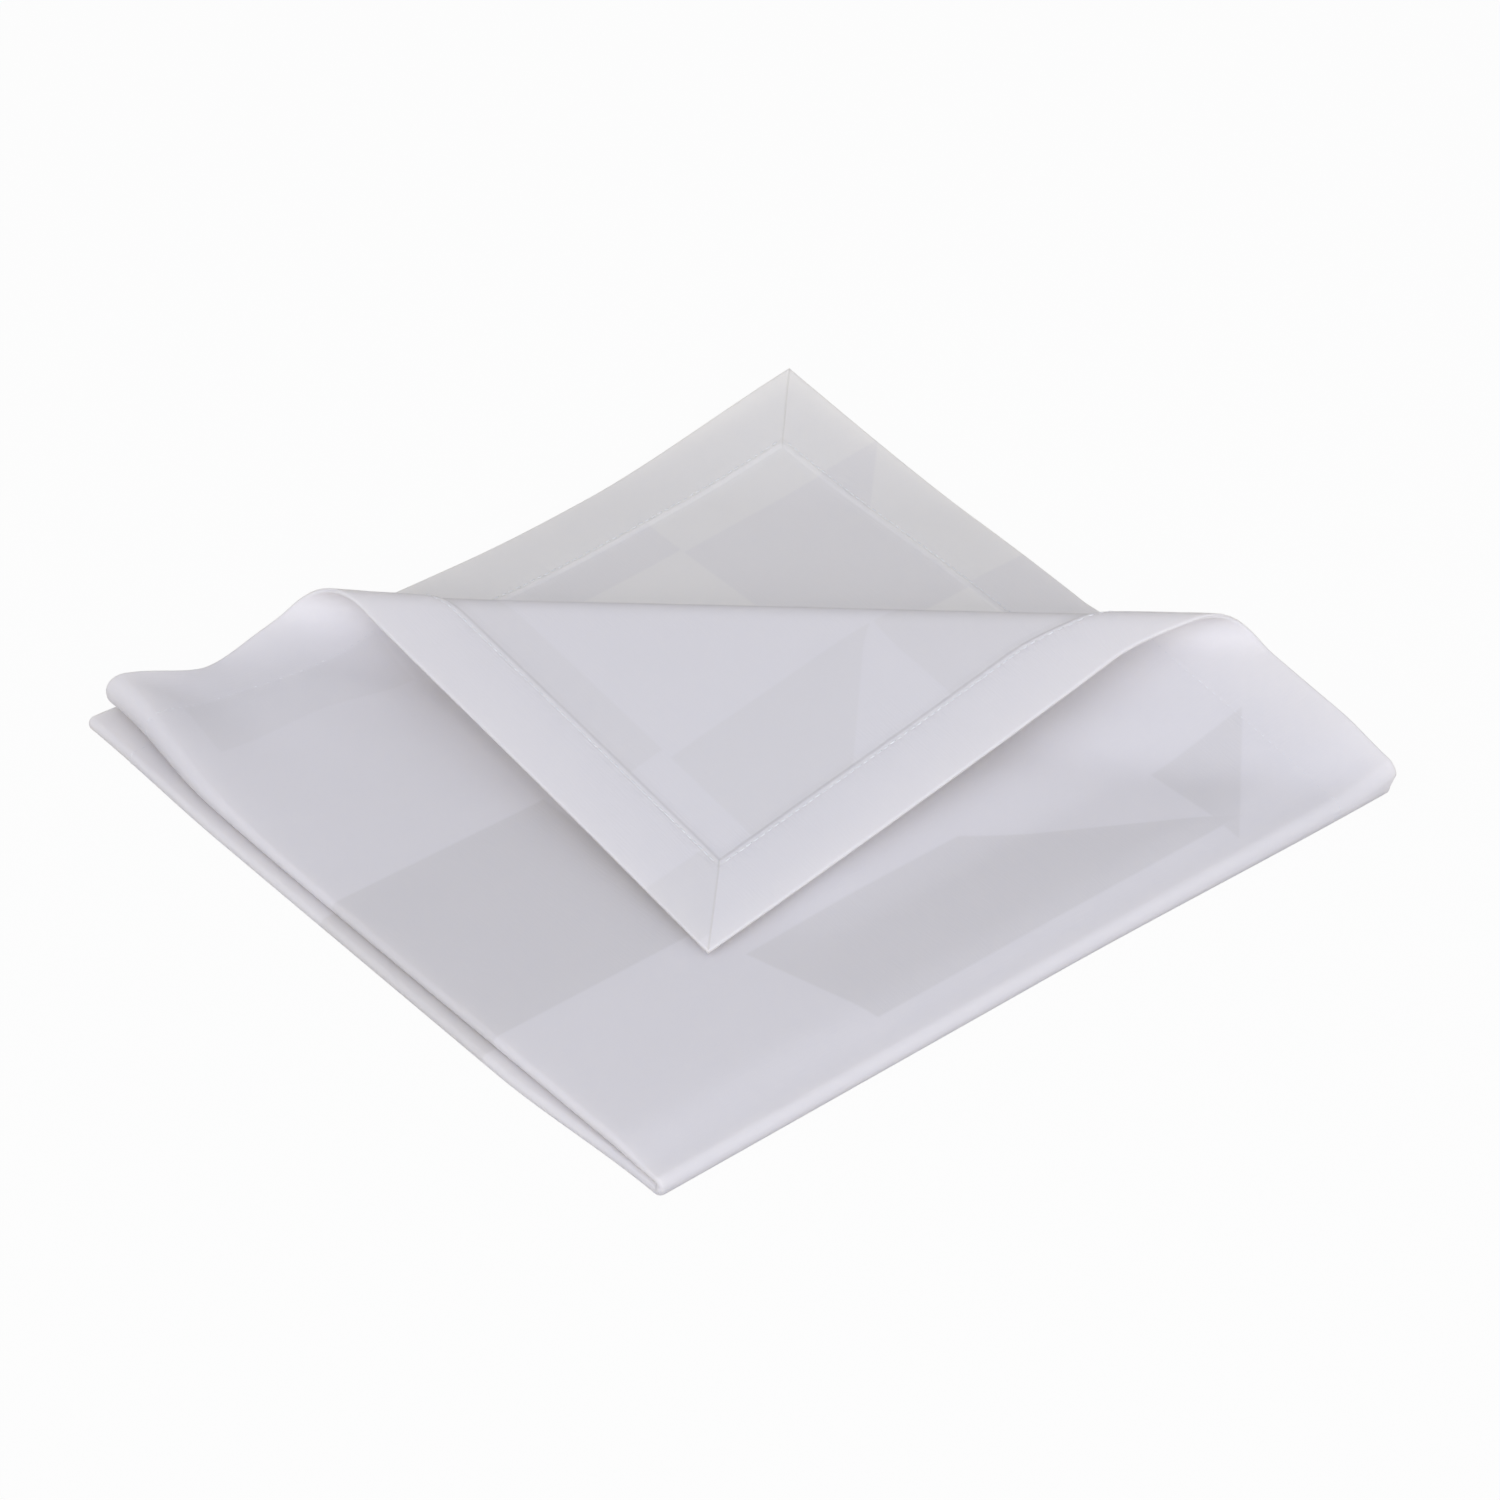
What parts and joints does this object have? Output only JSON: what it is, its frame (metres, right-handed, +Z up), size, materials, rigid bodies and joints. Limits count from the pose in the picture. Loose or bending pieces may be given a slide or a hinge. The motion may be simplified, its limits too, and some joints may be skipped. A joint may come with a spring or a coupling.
{
  "type": "cloth napkin",
  "caption": "Square hemmed cloth napkin folded in quarters, with the loose corner of its top ply rolled back over the stack.",
  "frame": {"origin": "middle of the underside's bounding rectangle, on the surface that the napkin lies on", "axes": "+Z up through the stack; the first fold runs along X at the front (-Y), the second along Y at the left (-X); the rolled corner points to the front left"},
  "size_m": [0.2532, 0.2514, 0.0339],
  "materials": {
    "damask": "matt woven damask",
    "thread": "matt sewing thread"
  },
  "bodies": {
    "root": {"napkin": "damask"}
  },
  "joints": []
}
